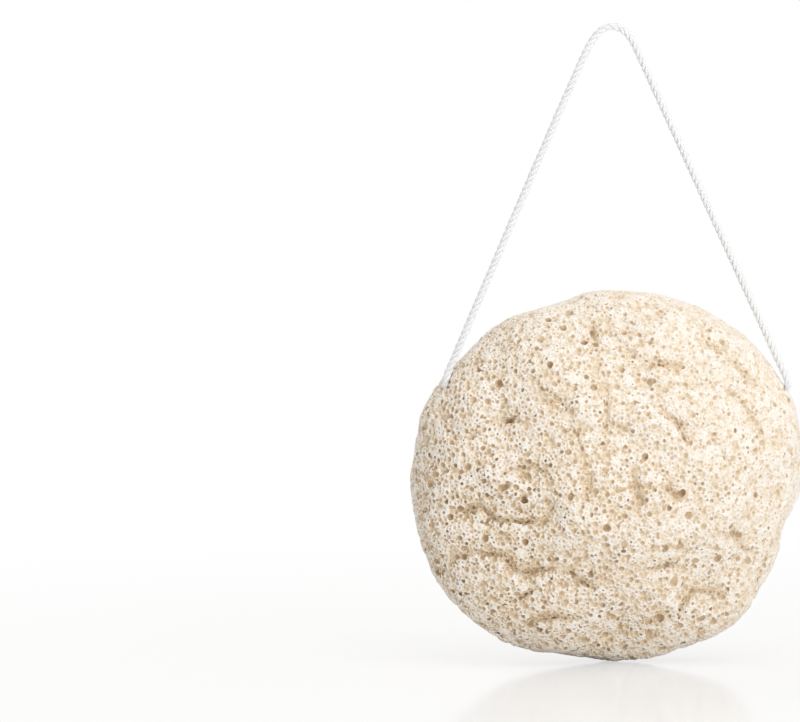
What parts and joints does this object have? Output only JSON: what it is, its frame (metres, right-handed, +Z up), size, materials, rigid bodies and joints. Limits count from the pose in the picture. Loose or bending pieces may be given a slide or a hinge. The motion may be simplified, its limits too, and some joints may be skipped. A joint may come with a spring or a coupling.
{
  "type": "konjac face sponge",
  "caption": "Round domed konjac sponge of soft open-pored plant foam with a flat back, hung by a loop of thin twisted cotton cord threaded through its rim.",
  "frame": {"origin": "the hook's bearing point, at the inside of the loop's top bend", "axes": "+X across the sponge along the threaded channel, +Y out of the flat back, +Z up along the hanging loop; the domed front faces -Y"},
  "size_m": [0.0822, 0.0344, 0.1313],
  "materials": {
    "konjac_foam": "matte open-pored plant foam, cream with tan pores",
    "cotton_cord": "matte white twisted cotton"
  },
  "bodies": {
    "hanging_cord": {"hanging_loop": "cotton_cord", "left_threaded_end": "cotton_cord", "right_threaded_end": "cotton_cord"},
    "sponge": {"sponge_body": "konjac_foam"}
  },
  "joints": [
    {"name": "sponge_swing", "type": "hinge", "parent": "hanging_cord", "child": "sponge", "pos_m": [0, 0, -0.076], "axis": [1, 0, 0], "range_deg": [-90, 75]}
  ]
}
